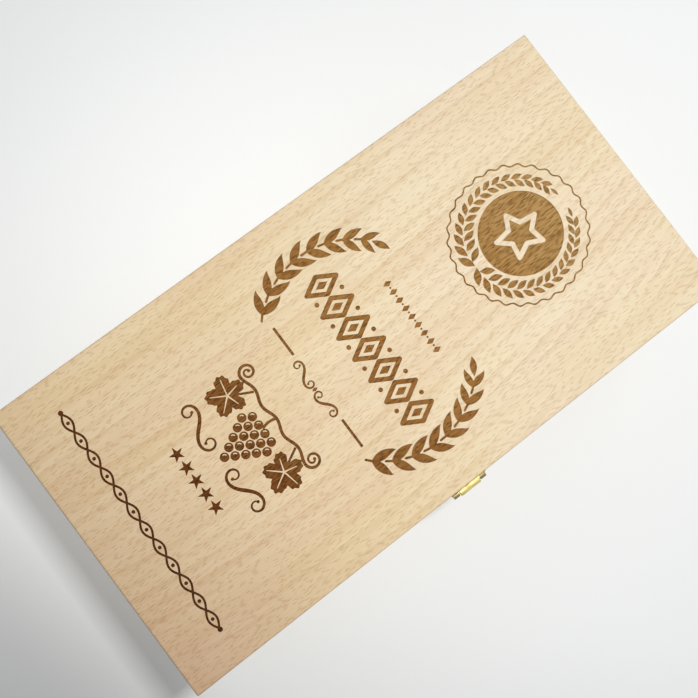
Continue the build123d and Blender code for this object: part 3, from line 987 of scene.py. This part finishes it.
def brass(name, pale, deep, smooth, rough):
    """Brass of two tones in soft smears, from smooth where it is pale to rough where it is deep."""
    material, tree = new_material(name)
    place = tree.nodes.new("ShaderNodeTexCoord").outputs["Object"]
    smear = noise(tree, place, 0.004, 0.0025, 3.0)
    brushed = noise(tree, place, 0.006, 0.00012, 2.0)
    colour = blend_colour(tree, spread(tree, smear, 0.3, 0.7), pale, deep)
    colour = tinted(tree, colour, spread(tree, brushed, 0.35, 0.65), brushed_tint)
    scratches = tree.nodes.new("ShaderNodeBump")
    scratches.inputs["Strength"].default_value = scratch_strength
    scratches.inputs["Distance"].default_value = scratch_depth
    tree.links.new(brushed, scratches.inputs["Height"])
    surface = tree.nodes["Principled BSDF"]
    surface.inputs["Metallic"].default_value = 1.0
    tree.links.new(colour, surface.inputs["Base Color"])
    tree.links.new(spread(tree, smear, 0.3, 0.7, smooth, rough), surface.inputs["Roughness"])
    tree.links.new(scratches.outputs[0], surface.inputs["Normal"])
    return material


leaf_brass = brass("brushed_brass", (0.74, 0.64, 0.28), (0.60, 0.49, 0.18), smooth=0.52, rough=0.64)
# Painted shade: a darker copy of the brass, so that the plate's knuckles look shaded.
plate_painted_shade_brass = brass("dull_brass_painted_shade", (0.31, 0.255, 0.11), (0.23, 0.18, 0.07), smooth=0.45, rough=0.58)
pin_brass = brass("polished_brass", (0.74, 0.64, 0.32), (0.64, 0.53, 0.23), smooth=0.28, rough=0.36)
nail_brass = brass("dark_brass", (0.58, 0.46, 0.19), (0.44, 0.33, 0.12), smooth=0.34, rough=0.48)
brasses = {
    "pin": pin_brass,
    "screw": nail_brass,
    "nail": nail_brass,
    "plate": plate_painted_shade_brass,
    "leaf": leaf_brass,
    "tongue": leaf_brass,
}
for name, node in nodes.items():
    if "hinge" in name or "latch" in name or "catch" in name:
        kind = next(word for word in brasses if word in name)
        finish(node, brasses[kind])


# Floor, lights and camera
# A pale seamless sheet under the box, lit by a soft lamp over its far end and by a pale room. The
# camera sees the sheet a little whiter than it is, and the box's shadow stays. Light and shade are also
# painted on the sheet: a glow round the box that the camera sees, and grey towards the box's foot and front.

sheet_half = 6
sheet_roughness = 0.9
sheet_white, sheet_pale, sheet_painted_shade_grey = (0.99, 1.0, 0.985), (0.755, 0.765, 0.76), (0.425, 0.43, 0.43)
# Painted light: the camera sees a glow on the sheet round this centre, and an even white far away.
painted_glow_centre = (-0.03, 0.09, 0.0)
painted_glow_reach, near_reach, far_reach = 0.26, 0.41, 0.72  # from the pool's centre
painted_glow_white, near_white, far_white = 0.288, 0.168, 0.50  # how much whiter the camera sees the sheet
# Painted shade: the sheet greys along X plus a share of Y, towards the box's foot and front.
painted_shade_lean, painted_shade_start, painted_shade_end = 0.73, -0.12, -0.48
# Painted shade: where the glow fades towards the box's foot.
painted_dim_lean, painted_dim_start, painted_dim_end = 0.2, -0.195, -0.28
room_colour, room_light, room_white = (0.97, 0.985, 1.0), 0.355, 0.90
lens, film = 46.06, 36.0
camera_place = (-0.06969, -0.00913, 0.57408)
camera_right = Vector((0.79438, -0.60204, 0.08065))
camera_down = Vector((-0.5944, -0.79781, -0.10092))
camera_ahead = Vector((0.1251, 0.03223, -0.99162))


def seen(tree):
    """1 for what the camera or a reflection sees, and 0 for the light that the thing sends out."""
    path = tree.nodes.new("ShaderNodeLightPath")
    shiny = math_node(tree, "MAXIMUM", path.outputs["Is Glossy Ray"], path.outputs["Is Transmission Ray"])
    return math_node(tree, "MAXIMUM", path.outputs["Is Camera Ray"], shiny)


def lamp(name, place, aim, width, length, power):
    """A soft lamp behind a rectangular screen, width along X and length along Y."""
    light = bpy.data.lights.new(name, "AREA")
    light.shape = "RECTANGLE"
    light.size = width
    light.size_y = length
    light.energy = power
    fitting = bpy.data.objects.new(name, light)
    fitting.location = place
    turn = Vector((0, 0, -1)).rotation_difference(Vector(aim) - Vector(place))
    fitting.rotation_euler = turn.to_euler()
    fitting.visible_camera = False
    bpy.context.scene.collection.objects.link(fitting)


floor_paper, tree = new_material("floor_paper")
paper = tree.nodes["Principled BSDF"]
paper.inputs["Roughness"].default_value = sheet_roughness
paper.inputs["Emission Color"].default_value = (*sheet_white, 1)
sheet_place = tree.nodes.new("ShaderNodeTexCoord").outputs["Object"]
painted_glow_distance = tree.nodes.new("ShaderNodeVectorMath")
painted_glow_distance.operation = "DISTANCE"
painted_glow_distance.inputs[1].default_value = painted_glow_centre
tree.links.new(sheet_place, painted_glow_distance.inputs[0])
near = spread(tree, painted_glow_distance.outputs["Value"], far_reach, near_reach)
# Painted shade: the sheet's colour greys towards the box's foot and front, and not far away.
shade = spread(tree, slant(tree, sheet_place, painted_shade_lean), painted_shade_start, painted_shade_end)
shade = math_node(tree, "MULTIPLY", near, shade)
tree.links.new(blend_colour(tree, shade, sheet_pale, sheet_painted_shade_grey), paper.inputs["Base Color"])
# Painted light: a glow that the camera sees round the box, fading towards the foot as painted shade, with an
# even white far away.
whitening_and_painted_glow = spread(tree, painted_glow_distance.outputs["Value"], 0.0, painted_glow_reach, painted_glow_white, near_white)
painted_glow_fade = spread(tree, slant(tree, sheet_place, painted_dim_lean), painted_dim_end, painted_dim_start)
whitening_and_painted_glow = math_node(tree, "MULTIPLY", whitening_and_painted_glow, painted_glow_fade)
whitening_and_painted_glow = math_node(tree, "MAXIMUM", whitening_and_painted_glow, spread(tree, near, 1.0, 0.0, 0.0, far_white))
tree.links.new(math_node(tree, "MULTIPLY", seen(tree), whitening_and_painted_glow), paper.inputs["Emission Strength"])

bm = bmesh.new()
bmesh.ops.create_grid(bm, x_segments=1, y_segments=1, size=sheet_half)
floor_mesh = bpy.data.meshes.new("floor")
bm.to_mesh(floor_mesh)
bm.free()
floor = new_piece("floor", floor_mesh, (floor_paper,))

lamp("window", (0.105, -0.013, 0.78), (0.02, 0.0, 0.05), width=0.11, length=0.075, power=3.45)
lamp("side_screen", (0.55, -0.03, 0.45), (0.0, 0.0, 0.05), width=0.25, length=0.50, power=0.6)
world = bpy.data.worlds.new("studio")
world.use_nodes = True
bpy.context.scene.world = world
tree = world.node_tree
room = tree.nodes["Background"]
room.inputs["Color"].default_value = (*room_colour, 1)
tree.links.new(spread(tree, seen(tree), 0.0, 1.0, room_light, room_white), room.inputs["Strength"])

camera_data = bpy.data.cameras.new("camera")
camera_data.sensor_width = film
camera_data.lens = lens
camera = bpy.data.objects.new("camera", camera_data)
turned = Matrix((camera_right, -camera_down, -camera_ahead)).transposed().to_4x4()
camera.matrix_world = Matrix.Translation(camera_place) @ turned
bpy.context.scene.collection.objects.link(camera)
bpy.context.scene.camera = camera
bpy.context.scene.view_settings.view_transform = "Standard"
